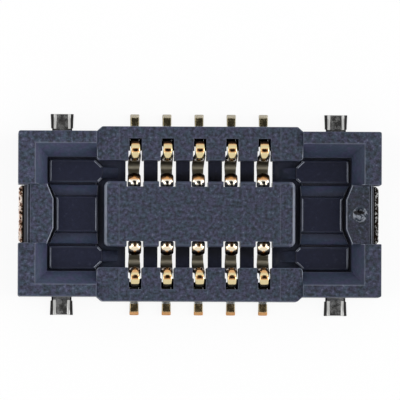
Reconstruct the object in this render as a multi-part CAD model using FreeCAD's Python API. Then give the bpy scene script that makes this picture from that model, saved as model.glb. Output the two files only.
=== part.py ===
import FreeCAD, Part
import math
import os

# Receptacle half of a fine-pitch board to board connector, lying on its board.
# +X runs along the contact rows, +Z points away from the board, and the origin
# is the middle of the connector at the board's surface. Lengths are in mm.

# Contact rows
contacts_per_row = 5
pitch = 0.40

# Levels of the housing
standoff = 0.03
floor_thickness = 0.09
wall_top = 0.64
rim_rise = 0.06
island_drop = 0.04

# Island and the moat around it
island_width = 0.81
island_overhang = 0.383
island_corner = 0.07
island_edge = 0.025
moat_width = 0.26

# Stamped strip of a contact
strip_thickness = 0.07
tail_reach = 0.168
tail_tip_width = 0.115
tail_width = 0.110
hook_width = 0.112
leg_width = 0.152
neck_width = 0.136
tip_width = 0.166

# Bends of a contact, each radius on the inside of the bend
tail_bend = 0.030
arch_bend = 0.0575
foot_bend = 0.045
knee_bend = 0.060
tip_bend = 0.055
crown_rise = 0.035
leg_proud = 0.010
foot_lift = 0.045
knee_rise = 0.20
arm_lean = 13.4
tip_sink = 0.12
tip_proud = 0.110
tip_droop = 20
tip_front_crown = 0.030
tip_top_crown = 0.035
tip_tuck = 0.020

# Barbs that grip the slot walls
barb_rise = 0.26
barb_height = 0.09
barb_flat = 0.03

# Openings for the contacts
hook_play = 0.0205
leg_play = 0.0105
window_play = 0.030
window_bite = 0.066
island_play = 0.022
tip_travel = 0.06
island_lip = 0.07
hook_slot_length = 0.138
slot_back_gap = 0.024
lip_thickness = 0.148
tail_headroom = 0.03

# End blocks
wall_overhang = 0.477
bay_length = 0.613
bay_step = 0.045
end_wall = 0.36
block_setback = 0.057
shoulder_run = 0.065
block_corner = 0.025
lead_in_end = 0.15
lead_in_side = 0.165
lead_in_drop = 0.25

# Bulge of the end wall, its outer notch and ledge
bulge_width = 0.732
bulge_flat = 0.36
bulge_depth = 0.075
bulge_edge = 0.015
ledge_inset = 0.145
ledge_width = 0.030
ledge_drop = 0.10
skirt_height = 0.16
notch_depth = 0.075

# Raised floor of each end bay
crevice_width = 0.030
crevice_depth = 0.06
pocket_rise = 0.10
pocket_corner = 0.030
ridge_rise = 0.08
ridge_width = 0.45
ridge_end_run = 0.015
floor_edge = 0.014
ridge_gap = 0.072
ridge_groove_width = 0.020
ridge_groove_depth = 0.040
tongue_inset = 0.045
tongue_width = 0.135
tongue_flare = 0.10
ramp_length = 0.10

# Gate mark left by the moulding tool
gate_diameter = 0.19
gate_depth = 0.022
gate_scar_diameter = 0.055
gate_scar_depth = 0.05
gate_scar_offset = 0.045
gate_inset = 0.265

# Hold-downs
nail_thickness = 0.08
nail_inset = 0.547
nail_width = 0.250
pad_root_width = 0.272
pad_tip_width = 0.286
pad_length = 0.180
pad_crown_width = 0.152
pad_bevel_run = 0.040
pad_edge_thickness = 0.035
end_tongue_reach = 0.065
end_tongue_width = 0.72
end_tongue_corner = 0.035
lug_root_width = 0.20
lug_top_width = 0.26
lug_run = 0.05
lug_height = 0.15
lug_bend = 0.03

# Places worked out from the sizes above
row_half = pitch * (contacts_per_row - 1) / 2
floor_top = standoff + floor_thickness
rim_top = wall_top + rim_rise
island_top = wall_top - island_drop
island_x = row_half + island_overhang
island_y = island_width / 2
moat_y = island_y + moat_width
wall_x = row_half + wall_overhang
bay_x = wall_x + bay_length
bay_y = moat_y + bay_step
end_x = bay_x + end_wall

strip_half = strip_thickness / 2
inner_leg_y = moat_y - leg_proud + strip_half
outer_leg_y = inner_leg_y + 2 * arch_bend + strip_thickness
slot_y = outer_leg_y + strip_half + slot_back_gap
wall_y = slot_y + lip_thickness
block_y = wall_y - block_setback
tail_y = wall_y + tail_reach
window_y = island_y - window_bite
tip_end_y = window_y - tip_tuck
arm_y = inner_leg_y - 2 * foot_bend - strip_thickness
arm_z = foot_lift + strip_half + knee_rise
nail_x = end_x - nail_inset
above = 2 * rim_top
hair = strip_thickness / 1000


def vector(x, y, z):
    return FreeCAD.Vector(x, y, z)


def prism(points, rise):
    """Solid swept along the vector rise from a flat outline."""
    return Part.Face(Part.makePolygon(points + points[:1])).extrude(rise)


def plan_prism(points, low, high):
    """Upright solid with a plan outline given as (x, y) points."""
    return prism([vector(x, y, low) for x, y in points], vector(0, 0, high - low))


def block(x_low, x_high, y_low, y_high, low, high):
    return Part.makeBox(x_high - x_low, y_high - y_low, high - low, vector(x_low, y_low, low))


def mirrored_y(points):
    """Plan outline closed by its mirror image across the X axis."""
    return points + [(x, -y) for x, y in reversed(points)]


def both_ends(solid):
    return [solid, solid.mirror(vector(0, 0, 0), vector(1, 0, 0))]


def both_sides(solid):
    return [solid, solid.mirror(vector(0, 0, 0), vector(0, 1, 0))]


def upright_edges(solid):
    return [edge for edge in solid.Edges if edge.BoundBox.ZLength > edge.Length - hair]


def edges_at(solid, level):
    """Edges that lie in the horizontal plane at this level."""
    flat = [edge for edge in solid.Edges if edge.BoundBox.ZLength < hair]
    return [edge for edge in flat if abs(edge.BoundBox.ZMin - level) < hair]


def edges_beyond(edges, x):
    """Those of the edges that lie at or past x."""
    return [edge for edge in edges if edge.BoundBox.XMin > x - hair]


def contact_places():
    return [-row_half + index * pitch for index in range(contacts_per_row)]


def bent_profile(corners, thickness):
    """Flat face of even thickness along a path in the YZ plane, bent at each inner corner.

    A corner is (y, z, inside radius); the first and last ones are the path's ends.
    """
    half = thickness / 2
    sides = {half: [], -half: []}
    points = [vector(0, y, z) for y, z, _ in corners]
    last = points[0]
    for before, corner, after, (_, _, inside) in zip(points, points[1:], points[2:], corners[1:]):
        into = (corner - before).normalize()
        out = (after - corner).normalize()
        turn = into.getAngle(out)
        radius = inside + half
        reach = radius * math.tan(turn / 2)
        enter = corner - into * reach
        leave = corner + out * reach
        to_centre = (out - into).normalize()
        centre = corner + to_centre * (radius / math.cos(turn / 2))
        left_turn = into.cross(out).x > 0
        for side, edges in sides.items():
            normal_in = vector(0, -into.z, into.y) * side
            normal_out = vector(0, -out.z, out.y) * side
            if (enter - last).Length > hair:
                edges.append(Part.makeLine(last + normal_in, enter + normal_in))
            bend = radius - side if left_turn else radius + side
            middle = centre - to_centre * bend
            edges.append(Part.Arc(enter + normal_in, middle, leave + normal_out).toShape())
        last = leave
    final = (points[-1] - last).normalize()
    normal = vector(0, -final.z, final.y)
    for side, edges in sides.items():
        edges.append(Part.makeLine(last + normal * side, points[-1] + normal * side))
    first = (points[1] - points[0]).normalize()
    start = vector(0, -first.z, first.y) * half
    caps = [
        Part.makeLine(points[0] + start, points[0] - start),
        Part.makeLine(points[-1] + normal * half, points[-1] - normal * half),
    ]
    edges = sides[half] + sides[-half] + caps
    return Part.Face(Part.Wire(Part.__sortEdges__(edges)))


def contact_path():
    """Corners of a contact's centre line, from solder tail to spring tip."""
    tail_z = strip_half
    crown_z = wall_top + crown_rise - strip_half
    foot_z = foot_lift + strip_half
    lean = math.radians(arm_lean)
    droop = math.radians(tip_droop)
    tip_radius = tip_bend + strip_half
    centre_y = island_y + tip_proud - strip_half - tip_radius
    centre_z = wall_top - tip_sink - strip_half - tip_radius
    enter_y = centre_y + tip_radius * math.cos(lean)
    enter_z = centre_z - tip_radius * math.sin(lean)
    reach = tip_radius * math.tan((math.pi / 2 + lean + droop) / 2)
    leave_y = centre_y - tip_radius * math.sin(droop)
    leave_z = centre_z + tip_radius * math.cos(droop)
    return [
        (tail_y, tail_z, 0),
        (outer_leg_y, tail_z, tail_bend),
        (outer_leg_y, crown_z, arch_bend),
        (inner_leg_y, crown_z, arch_bend),
        (inner_leg_y, foot_z, foot_bend),
        (arm_y, foot_z, foot_bend),
        (enter_y - (enter_z - arm_z) * math.tan(lean), arm_z, knee_bend),
        (enter_y + reach * math.sin(lean), enter_z + reach * math.cos(lean), tip_bend),
        (tip_end_y, leave_z - (leave_y - tip_end_y) * math.tan(droop), 0),
    ]


def contact_blank():
    """Outline of the strip seen from above, wide at the leg and the tip."""
    stations = [
        (tail_y, tail_tip_width),
        (wall_y, tail_width),
        (outer_leg_y + strip_half, hook_width),
        (outer_leg_y - strip_half, hook_width),
        (inner_leg_y, leg_width),
        ((inner_leg_y + arm_y) / 2, leg_width),
        (arm_y, neck_width),
    ]
    right = [(width / 2, y) for y, width in stations]
    left = [(-width / 2, y) for y, width in reversed(stations)]
    return plan_prism(right + left, -above, above)


def contact_arm_blank():
    """Outline of the spring arm seen from its row's side, with the wider contact tip."""
    stations = [
        (-above, neck_width),
        (arm_z, neck_width),
        (wall_top - tip_sink - tip_width / 2, tip_width),
        (above, tip_width),
    ]
    right = [vector(width / 2, tip_end_y, z) for z, width in stations]
    left = [vector(-width / 2, tip_end_y, z) for z, width in reversed(stations)]
    return prism(right + left, vector(0, arm_y - tip_end_y, 0))


def crown_radius(crown):
    """Radius of a tip face whose edges lie this much behind its middle."""
    half = tip_width / 2
    return (half ** 2 + crown ** 2) / (2 * crown)


def tip_relief():
    """What is coined off the tip's front and top, so that it is domed where it meets the plug."""
    front_y = island_y + tip_proud
    front_radius = crown_radius(tip_front_crown)
    front = block(-tip_width, tip_width, front_y - tip_front_crown, arm_y, arm_z, above)
    nose = Part.makeCylinder(front_radius, above, vector(0, front_y - front_radius, 0))
    top_z = wall_top - tip_sink
    top_radius = crown_radius(tip_top_crown)
    top = block(-tip_width, tip_width, 0, arm_y, top_z - tip_top_crown, above)
    axis_point = vector(0, 0, top_z - top_radius)
    dome = Part.makeCylinder(top_radius, arm_y, axis_point, vector(0, 1, 0))
    return front.cut(nose).fuse(top.cut(dome))


def barb(side):
    """Wedge on one edge of the outer leg that bears on the slot wall."""
    root = side * hook_width / 4
    edge = side * hook_width / 2
    face = side * (hook_width / 2 + hook_play)
    low = standoff + barb_rise
    return prism([
        vector(root, outer_leg_y - strip_half, low),
        vector(edge, outer_leg_y - strip_half, low),
        vector(face, outer_leg_y - strip_half, low + barb_height - barb_flat),
        vector(face, outer_leg_y - strip_half, low + barb_height),
        vector(root, outer_leg_y - strip_half, low + barb_height),
    ], vector(0, strip_thickness, 0))


def contact():
    """One contact of the +Y row, standing at x = 0."""
    widest = leg_width + tip_width
    strip = bent_profile(contact_path(), strip_thickness).extrude(vector(widest, 0, 0))
    strip.translate(vector(-widest / 2, 0, 0))
    blank = contact_blank().fuse(contact_arm_blank())
    formed = strip.common(blank).cut(tip_relief())
    return formed.fuse([barb(1), barb(-1)]).removeSplitter()


def housing_shell():
    """Side walls between two end blocks that are narrower and stand higher, solid inside."""
    walls = plan_prism(mirrored_y([
        (-wall_x, block_y),
        (-wall_x + shoulder_run, wall_y),
        (wall_x - shoulder_run, wall_y),
        (wall_x, block_y),
    ]), standoff, wall_top)
    end = block(wall_x, end_x, -block_y, block_y, standoff, rim_top)
    end = end.makeFillet(block_corner, edges_beyond(upright_edges(end), end_x))
    return walls.fuse(both_ends(end))


def cavity():
    """The space between the side walls, with the rounded free corners of the walls."""
    corner = bay_step
    diagonal = corner * (1 - math.sqrt(0.5))
    start = wall_x - corner
    edges = []
    for x_sign, y_sign in ((1, 1), (1, -1), (-1, -1), (-1, 1)):
        along = vector(x_sign * start, y_sign * moat_y, floor_top)
        middle = vector(x_sign * (wall_x - diagonal), y_sign * (moat_y + diagonal), floor_top)
        outer = vector(x_sign * wall_x, y_sign * bay_y, floor_top)
        edges.append(Part.Arc(along, middle, outer).toShape())
    for x in (wall_x, -wall_x):
        edges.append(Part.makeLine(vector(x, bay_y, floor_top), vector(x, -bay_y, floor_top)))
    for y in (moat_y, -moat_y):
        edges.append(Part.makeLine(vector(-start, y, floor_top), vector(start, y, floor_top)))
    outline = Part.Wire(Part.__sortEdges__(edges))
    return Part.Face(outline).extrude(vector(0, 0, above))


def bay():
    """Space inside the +X end block, with its mitred lead-in."""
    low = floor_top + pocket_rise - crevice_depth
    well = block(wall_x, bay_x, -bay_y, bay_y, low, above)
    levels = []
    for level, grow in ((rim_top - lead_in_drop, 0), (rim_top, 1)):
        x = bay_x + grow * lead_in_end
        y = bay_y + grow * lead_in_side
        levels.append(Part.makePolygon([
            vector(wall_x, -y, level),
            vector(x, -y, level),
            vector(x, y, level),
            vector(wall_x, y, level),
            vector(wall_x, -y, level),
        ]))
    return well.fuse(Part.makeLoft(levels, True, True))


def bulge():
    """Inward bump of the +X end wall, with its bevelled flanks."""
    face_x = bay_x - bulge_depth
    points = mirrored_y([
        (end_x - notch_depth, bulge_width / 2),
        (bay_x, bulge_width / 2),
        (face_x, bulge_flat / 2),
    ])
    body = plan_prism(points, standoff, wall_top)
    rim = [edge for edge in edges_at(body, wall_top) if edge.BoundBox.XMax < bay_x + hair]
    return body.makeFillet(bulge_edge, rim)


def end_notch():
    """What is cut from the +X end wall around the bulge: its top, a ledge, a slope and the skirt."""
    outside = end_x + end_wall
    ledge_x = end_x - ledge_inset
    profile = [
        (bay_x, above),
        (bay_x, wall_top),
        (ledge_x, wall_top),
        (ledge_x, wall_top - ledge_drop),
        (ledge_x + ledge_width, wall_top - ledge_drop),
        (end_x - notch_depth, standoff + skirt_height),
        (end_x - notch_depth, 0),
        (outside, 0),
        (outside, above),
    ]
    half = bulge_width / 2
    return prism([vector(x, -half, z) for x, z in profile], vector(0, bulge_width, 0))


def pocket_outline():
    """Plan of the raised floor in the +Y half of the bay, a crevice away from all around it."""
    front_x = island_x + crevice_width / 2
    edge_y = bay_y - crevice_width
    back_x = bay_x - crevice_width
    ridge_y = bulge_width / 2 + crevice_width
    return [
        (island_x + ridge_gap, ridge_y),
        (front_x, island_y + tongue_inset),
        (front_x, island_y + tongue_inset + tongue_width),
        (front_x + tongue_flare, edge_y),
        (back_x, edge_y),
        (back_x, ridge_y),
    ]


def floor_ramp():
    """Slope from the raised floor down into the moat of the +Y row."""
    high_x = island_x + crevice_width / 2
    low_x = high_x - ramp_length
    pocket_z = floor_top + pocket_rise
    points = [
        vector(low_x, 0, standoff),
        vector(low_x, 0, floor_top),
        vector(high_x + floor_edge, 0, pocket_z),
        vector(high_x + floor_edge, 0, standoff),
    ]
    ramp = prism(points, vector(0, tongue_width, 0))
    ramp.translate(vector(0, island_y + tongue_inset, 0))
    return ramp


def floor_ridge():
    """Low ridge along the middle of the +X bay floor, with a groove along each edge of its top."""
    near_x = island_x + ridge_gap
    far_x = bay_x - crevice_width - bulge_depth
    flank = bulge_depth / (bulge_width / 2 - bulge_flat / 2)
    pocket_z = floor_top + pocket_rise
    top_z = pocket_z + ridge_rise
    outlines = []
    for y, run in ((bulge_width / 2, 0), (ridge_width / 2, ridge_end_run)):
        corner_x = far_x + flank * (y - bulge_flat / 2) - run
        outlines.append(mirrored_y([(near_x + run, y), (corner_x, y), (far_x - run, bulge_flat / 2)]))
    foot, top = outlines
    levels = []
    for outline, level in ((foot, pocket_z), (top, top_z)):
        points = [vector(x, y, level) for x, y in outline]
        levels.append(Part.makePolygon(points + points[:1]))
    ridge = plan_prism(foot, standoff, pocket_z).fuse(Part.makeLoft(levels, True, True))
    edge_y = ridge_width / 2
    half = ridge_groove_width / 2
    groove = block(
        near_x, bay_x, edge_y - half, edge_y + half, top_z - ridge_groove_depth, above)
    return ridge.cut(both_sides(groove))


def bay_floor():
    """Raised floor of the +X bay: pockets at the sides, a ridge between, and ramps to the moats."""
    pocket_z = floor_top + pocket_rise
    pocket = plan_prism(pocket_outline(), standoff, pocket_z)
    corner = [edge for edge in edges_beyond(upright_edges(pocket), bay_x - crevice_width)
              if edge.BoundBox.YMin > moat_y]
    pocket = pocket.makeFillet(pocket_corner, corner)
    pocket = pocket.makeFillet(floor_edge, edges_at(pocket, pocket_z))
    raised = both_sides(pocket) + both_sides(floor_ramp())
    return floor_ridge().fuse(raised)


def island():
    body = plan_prism([
        (island_x, island_y),
        (-island_x, island_y),
        (-island_x, -island_y),
        (island_x, -island_y),
    ], standoff, island_top)
    body = body.makeFillet(island_corner, upright_edges(body))
    return body.makeChamfer(island_edge, edges_at(body, island_top))


def contact_opening(x):
    """Window in the moat, slot in the side wall and tail channel of one +Y contact."""
    window_half = tip_width / 2 + window_play
    notch_half = tip_width / 2 + island_play
    leg_half = leg_width / 2 + leg_play
    hook_half = hook_width / 2 + hook_play
    tail_half = tail_tip_width / 2
    hook_start = slot_y - hook_slot_length
    channel_top = strip_thickness + tail_headroom
    window = block(x - window_half, x + window_half, island_y, moat_y, 0, above)
    notch = block(x - notch_half, x + notch_half, window_y, island_y, 0, above)
    room_y = window_y - tip_travel
    room = block(x - notch_half, x + notch_half, room_y, window_y, 0, island_top - island_lip)
    leg_slot = block(x - leg_half, x + leg_half, moat_y, hook_start, 0, above)
    hook_slot = block(x - hook_half, x + hook_half, hook_start, slot_y, channel_top, above)
    channel = block(x - tail_half, x + tail_half, hook_start, tail_y, 0, channel_top)
    return window.fuse([notch, room, leg_slot, hook_slot, channel])


def nail_strap():
    """Plain cross strap of the +X hold-down, as long as leaves room for the coined pads."""
    end_y = tail_y - pad_length
    return block(nail_x - nail_width / 2, nail_x + nail_width / 2, -end_y, end_y, 0, nail_thickness)


def nail_pad():
    """Solder pad at the +Y end of the strap, coined thin and wide along its long edges."""
    crown = pad_crown_width / 2
    foot = crown + pad_bevel_run
    rim = pad_tip_width / 2
    section = [
        (crown, nail_thickness),
        (foot, pad_edge_thickness),
        (rim, pad_edge_thickness),
        (rim, 0),
    ]
    section = section + [(-x, z) for x, z in reversed(section)]
    root_y = tail_y - pad_length
    pad = prism([vector(nail_x + x, root_y, z) for x, z in section], vector(0, pad_length, 0))
    root = pad_root_width / 2
    return pad.common(plan_prism([
        (nail_x + root, root_y),
        (nail_x + rim, tail_y),
        (nail_x - rim, tail_y),
        (nail_x - root, root_y),
    ], 0, nail_thickness))


def nail_tongue():
    """Flat tongue of the +X hold-down that shows in the notch of the end wall."""
    half = end_tongue_width / 2
    tip_x = end_x - notch_depth + end_tongue_reach
    return plan_prism(mirrored_y([
        (nail_x, half),
        (tip_x - end_tongue_corner, half),
        (tip_x, half - end_tongue_corner),
    ]), 0, nail_thickness)


def nail_lug():
    """Lug of the +X hold-down, bent up into the floor ridge and wider at its top to lock there."""
    middle = nail_thickness / 2
    lug_x = nail_x - nail_width / 2 - lug_run
    top_z = nail_thickness + lug_height
    path = [(nail_x, middle, 0), (lug_x, middle, lug_bend), (lug_x, top_z, 0)]
    sheet = bent_profile(path, nail_thickness).extrude(vector(lug_top_width, 0, 0))
    sheet.translate(vector(-lug_top_width / 2, 0, 0))
    front = [
        vector(lug_root_width / 2, 0, 0),
        vector(lug_root_width / 2, 0, nail_thickness),
        vector(lug_top_width / 2, 0, top_z),
        vector(-lug_top_width / 2, 0, top_z),
        vector(-lug_root_width / 2, 0, nail_thickness),
        vector(-lug_root_width / 2, 0, 0),
    ]
    lug = sheet.common(prism(front, vector(0, end_x, 0)))
    return lug.rotate(vector(0, 0, 0), vector(0, 0, 1), -90)


def hold_down():
    """The +X hold-down, one flat pressing with a bent lug."""
    pieces = [nail_tongue(), nail_lug()] + both_sides(nail_pad())
    return nail_strap().fuse(pieces).removeSplitter()


def gate_mark():
    """Shallow dished gate with a torn scar beside its middle, on top of the +X bulge."""
    gate_x = end_x - gate_inset
    dish_radius = ((gate_diameter / 2) ** 2 + gate_depth ** 2) / (2 * gate_depth)
    dish = Part.makeSphere(dish_radius, vector(gate_x, 0, wall_top + dish_radius - gate_depth))
    scar_foot = vector(gate_x, gate_scar_offset, wall_top - gate_scar_depth)
    scar = Part.makeCylinder(gate_scar_diameter / 2, gate_scar_depth, scar_foot)
    return dish.fuse(scar)


def housing(nails):
    """The moulded housing, formed around the hold-downs."""
    body = housing_shell().cut([cavity()] + both_ends(bay()))
    body = body.fuse([island()] + both_ends(bulge()) + both_ends(bay_floor()))
    openings = []
    for x in contact_places():
        openings = openings + both_sides(contact_opening(x))
    body = body.cut(both_ends(end_notch()) + openings)
    return body.cut(nails + [gate_mark()]).removeSplitter()


def save(name, solid):
    solid.exportStep("parts/" + name + ".step")


def main():
    os.makedirs("parts", exist_ok=True)
    right, left = both_ends(hold_down())
    save("hold_down_right", right)
    save("hold_down_left", left)
    save("housing", housing([right, left]))
    upper, lower = both_sides(contact())
    for index, x in enumerate(contact_places(), start=1):
        save("contact_a" + str(index), upper.translated(vector(x, 0, 0)))
        save("contact_b" + str(index), lower.translated(vector(x, 0, 0)))


main()
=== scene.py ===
import math

import bmesh
import bpy
from mathutils import Color, Matrix, Vector


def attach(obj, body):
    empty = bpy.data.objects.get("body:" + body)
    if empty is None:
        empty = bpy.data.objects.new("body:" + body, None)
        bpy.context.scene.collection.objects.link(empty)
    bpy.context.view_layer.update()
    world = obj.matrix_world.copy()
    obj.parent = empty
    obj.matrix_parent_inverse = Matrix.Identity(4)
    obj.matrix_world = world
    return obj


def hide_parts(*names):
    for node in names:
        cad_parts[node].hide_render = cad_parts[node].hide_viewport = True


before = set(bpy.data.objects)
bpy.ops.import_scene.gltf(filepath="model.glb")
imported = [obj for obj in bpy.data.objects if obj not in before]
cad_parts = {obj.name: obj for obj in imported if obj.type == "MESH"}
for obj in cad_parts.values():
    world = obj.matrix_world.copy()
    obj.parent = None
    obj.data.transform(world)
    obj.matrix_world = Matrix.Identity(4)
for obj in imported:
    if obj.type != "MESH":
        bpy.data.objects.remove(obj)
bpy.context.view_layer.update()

bl_info = {
    "name": "Board to board connector",
    "version": (1, 0, 0),
    "blender": (4, 5, 0),
    "location": "3D View > Sidebar > Connector",
    "description": "Dresses the solids of a fine-pitch board to board connector",
    "category": "Object",
}

MM = 0.001
# Face layer that holds the strength of the painted highlight on each of the edges that are rounded
EDGE_HIGHLIGHT_LAYER = "rounded edge"

ROWS = {"a": 1, "b": -1}
PITCH = 0.40

# How far each contact's spring arm stands off its line, along its row
STRAYS = {
    "a": (-0.012, -0.005, -0.016, -0.011, -0.012),
    "b": (-0.002, -0.001, -0.014, -0.002, -0.004),
}

# Centre line of a contact of the +Y row as (y, z, inside radius), from solder tail to tip
STRIP_THICKNESS = 0.07
TAIL_END = (1.25, 0.035)
TAIL_CORNER = (0.875, 0.035, 0.030)
ARCH_OUTER = (0.875, 0.64, 0.0575)
ARCH_INNER = (0.69, 0.64, 0.0575)
FOOT_OUTER = (0.69, 0.08, 0.045)
FOOT_INNER = (0.53, 0.08, 0.045)
KNEE = (0.4551, 0.28, 0.060)
TIP = (0.5163, 0.5367, 0.055)
TIP_END = (0.3220, 0.4660)
TIP_CENTRE = (0.390, 0.395)
TIP_RADIUS = 0.09
HOOK_CENTRE = (0.7825, 0.5475)
HOOK_RADIUS = 0.0925

# Where the hook and the tip begin, and where the hook's flat middle and the stray arm end
HOOK_FROM = 0.3975
HOOK_SPAN = (0.6, 0.95)
HOOK_FLAT_END = 0.83
TIP_FROM = 0.365
ARM_END = 0.74

# Straight runs of its tail as (y, width), and of its riser with the barbs as (z, width)
TAIL_RUNS = ((1.242, 0.115), (1.105, 0.111), (1.082, 0.110))
RISER_RUNS = ((0.29, 0.112), (0.35, 0.150), (0.38, 0.150), (0.385, 0.112))

# Its bends as (corner, next corner, steps, width after the bend, width before it)
TAIL_BEND = (TAIL_CORNER, ARCH_OUTER, 5, 0.112, 0.112)
STRIP_BENDS = (
    (ARCH_OUTER, ARCH_INNER, 6, 0.116, 0.104),
    (ARCH_INNER, FOOT_OUTER, 6, 0.146, 0.116),
    (FOOT_OUTER, FOOT_INNER, 6, 0.152, 0.152),
    (FOOT_INNER, KNEE, 5, 0.138, 0.146),
    (KNEE, TIP, 5, 0.137, 0.136),
    (TIP, TIP_END, 10, 0.166, 0.160),
)
TIP_WIDTH = 0.166

# Places on the housing: its gate, the bulge's side and the bays' floors
GATE = (1.985, 0, 0.62)
SCAR_RADIUS = 0.11
BULGE_SIDE = 0.366
BAY_FLOORS = (0.22, 0.30)

# Ramp from each pocket down to the moat: its sides, and where its foot stands and is eased to
RAMP_SIDES = (0.450, 0.585)
RAMP_FOOT = 1.098
EASED_FOOT = 1.005
SAME_PLACE = 0.002

# A tongue's sheared edges stand beyond this place and above this height
TONGUE_END = 2.20
TONGUE_TOP = 0.07

# Where the kinds of rounded edges part, for the strength of their painted highlights: a height,
# places along X, then two along Y
LOW_EDGES = 0.33
CONTACTS_END = 1.10
POCKET_START = 1.15
ISLAND_END = 1.25
BLOCK_START = 1.36
NOTCH_START = 2.09
NOTCH_BACK = 2.12
ISLAND_SIDE = 0.5
WALL_SIDE = 0.6

# Zones of colour on the housing, as the limits in millimetres between which each fades in
GRAIN_LEVEL = (0.31, 0.42)
SLOPE_LEVEL = (0.20, 0.225)
RAMP_LEVEL = (0.20, 0.23)
MOAT_LEVEL = (0.14, 0.20)
RAMP_START = (0.96, 1.02)
RAMP_END = (1.18, 1.22)
LEDGE_START = (2.102, 2.112)
WITNESS_EDGE = (0.004, 0.012)
GATE_SHADE = (0.22, 0.48)
GATE_EDGE = (0.104, 0.114)
HOLE_EDGE = (0.028, 0.036)

# Place of the mould's witness lines, and how the gate's hole is stretched and shifted
WITNESS_PLACE = 1.0
HOLE_STRETCH = (0.4, 1.0, 0.3)
HOLE_SHIFT = (-0.004, 0.024, 0)

# Zones on a contact, by height and then by distance from the middle, from tip to tail
PLATED_LEVEL = (0.30, 0.42)
SLOT_LEVEL = (0.30, 0.45)
FOOT_LEVEL = (0.13, 0.18)
HOOK_UNDERSIDE = (0.46, 0.52)
TIP_REFLECTION_SIDE = (0.010, 0.020)
TIP_REFLECTION_END = (0.400, 0.412)
TIP_SLOPE = (0.418, 0.436)
TIP_BACK = (0.458, 0.472)
HOOK_START = (0.56, 0.60)
NICKEL_SHADE_START = (0.572, 0.625)
OUTER_LEG = ((0.60, 0.62), (0.74, 0.78))
HOOK_INSIDE = (0.670, 0.686)
HOOK_INNER_END = (0.710, 0.745)
ARCH_START = (0.76, 0.80)
CREST_PLACE = 0.787
CREST_DARK_REFLECTION = (0.012, 0.018)
CREST_REFLECTION_RIM = (0.018, 0.034)
CREST_SIDE = (0.040, 0.050)
HOOK_OUTER_END = (0.846, 0.868)
WALL_SLOT = ((0.87, 0.89), (1.060, 1.072))
TAIL_START = (1.02, 1.04)
NICKEL_BAND = ((1.076, 1.084), (1.100, 1.112))
CUT_END = (1.195, 1.220)

# Zones on a hold-down: its pads' flanks, the gap by the housing and the tongue's torn end
PAD_PLACE = 1.703
PAD_FLANK = (0.100, 0.108)
PAD_START = (1.00, 1.04)
GAP_START = (2.150, 2.160)
GAP_END = (2.190, 2.202)
TORN_END = (2.180, 2.190)

# Way to the studio's dark middle, then what the camera is aimed at and its angles
DARK_SPOT = (0.026, 0.140, 1.0)
TARGET = (0.0, 0.172, 0.65)
ELEVATION = math.radians(87.95)
AZIMUTH = math.radians(-46)
ROLL = math.radians(0.25)


class HousingSettings(bpy.types.PropertyGroup):
    edge_radius: bpy.props.FloatProperty(
        name="Edge radius", description="Radius that the mould leaves on the outer edges",
        default=0.010 * MM, min=0.0, unit="LENGTH", precision=6)
    colour: bpy.props.FloatVectorProperty(
        name="Resin", description="Colour of the filled resin at the grained skin",
        default=(0.022, 0.034, 0.054), min=0.0, max=1.0, subtype="COLOR")
    tint: bpy.props.FloatVectorProperty(
        name="Tint", description="Second colour of the grained skin, in patches",
        default=(0.034, 0.031, 0.066), min=0.0, max=1.0, subtype="COLOR")
    smooth_colour: bpy.props.FloatVectorProperty(
        name="Smooth resin", description="Colour of the resin where the mould is polished",
        default=(0.010, 0.0125, 0.033), min=0.0, max=1.0, subtype="COLOR")
    fleck_colour: bpy.props.FloatVectorProperty(
        name="Flecks", description="Colour of the glass filler that shows at the skin",
        default=(0.100, 0.110, 0.155), min=0.0, max=1.0, subtype="COLOR")
    # Painted highlight: a pale colour laid on the rounded edges in place of the light that they
    # catch
    edge_highlight_colour: bpy.props.FloatVectorProperty(
        name="Edges", description="Colour of the burnished edges",
        default=(0.360, 0.390, 0.460), min=0.0, max=1.0, subtype="COLOR")
    grain_size: bpy.props.FloatProperty(
        name="Grain size", description="Size of the spark-eroded grain on the top faces",
        default=0.040 * MM, min=0.0, unit="LENGTH", precision=6)


class ContactSettings(bpy.types.PropertyGroup):
    crown: bpy.props.FloatProperty(
        name="Crown", description="How far the middle of the strip stands proud of its edges",
        default=0.001 * MM, min=0.0, unit="LENGTH", precision=6)
    shoulder: bpy.props.FloatProperty(
        name="Hook shoulder",
        description="How far the hook's edges are rounded back from its flat middle",
        default=0.040 * MM, min=0.0, unit="LENGTH", precision=6)
    tip_crown: bpy.props.FloatProperty(
        name="Tip crown",
        description="How far the contact tip's edges are coined back from its middle",
        default=0.034 * MM, min=0.0, unit="LENGTH", precision=6)
    corner: bpy.props.FloatProperty(
        name="Corner", description="Rounding of the stamped edges",
        default=0.008 * MM, min=0.0, unit="LENGTH", precision=6)
    gold: bpy.props.FloatVectorProperty(
        name="Gold", description="Colour of the gold plating",
        default=(0.93, 0.78, 0.44), min=0.0, max=1.0, subtype="COLOR")
    nickel: bpy.props.FloatVectorProperty(
        name="Nickel", description="Colour of the bare nickel band at the root of a tail",
        default=(0.46, 0.47, 0.46), min=0.0, max=1.0, subtype="COLOR")
    # Pale gold painted on the tips' crowns as a painted highlight, and the pale tone of row b's cut
    # tail ends
    pale_highlight: bpy.props.FloatVectorProperty(
        name="Pale highlight gold", description="Bright gold of the tips' crowns",
        default=(1.0, 0.93, 0.78), min=0.0, max=1.0, subtype="COLOR")
    # Warm gold for the painted warm reflections on the slope up to the tips, at the hooks' ends and
    # across the crests; darkened, it paints shade and dark reflections on the tips and low legs,
    # and row a's tail tones
    warm_gold_and_reflection: bpy.props.FloatVectorProperty(
        name="Warm gold and reflection", description="Warm gold on the slope up to the tips",
        default=(0.86, 0.44, 0.18), min=0.0, max=1.0, subtype="COLOR")
    # Dull nickel between the hook and the tip, also the base of the painted shade there, in the
    # wall slots, on the tails and their sides, and of row b's dark tip reflection
    dull_nickel_and_shade: bpy.props.FloatVectorProperty(
        name="Dull nickel and shade", description="Colour of the dull nickel between the hook and the tip",
        default=(0.170, 0.155, 0.120), min=0.0, max=1.0, subtype="COLOR")


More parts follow.
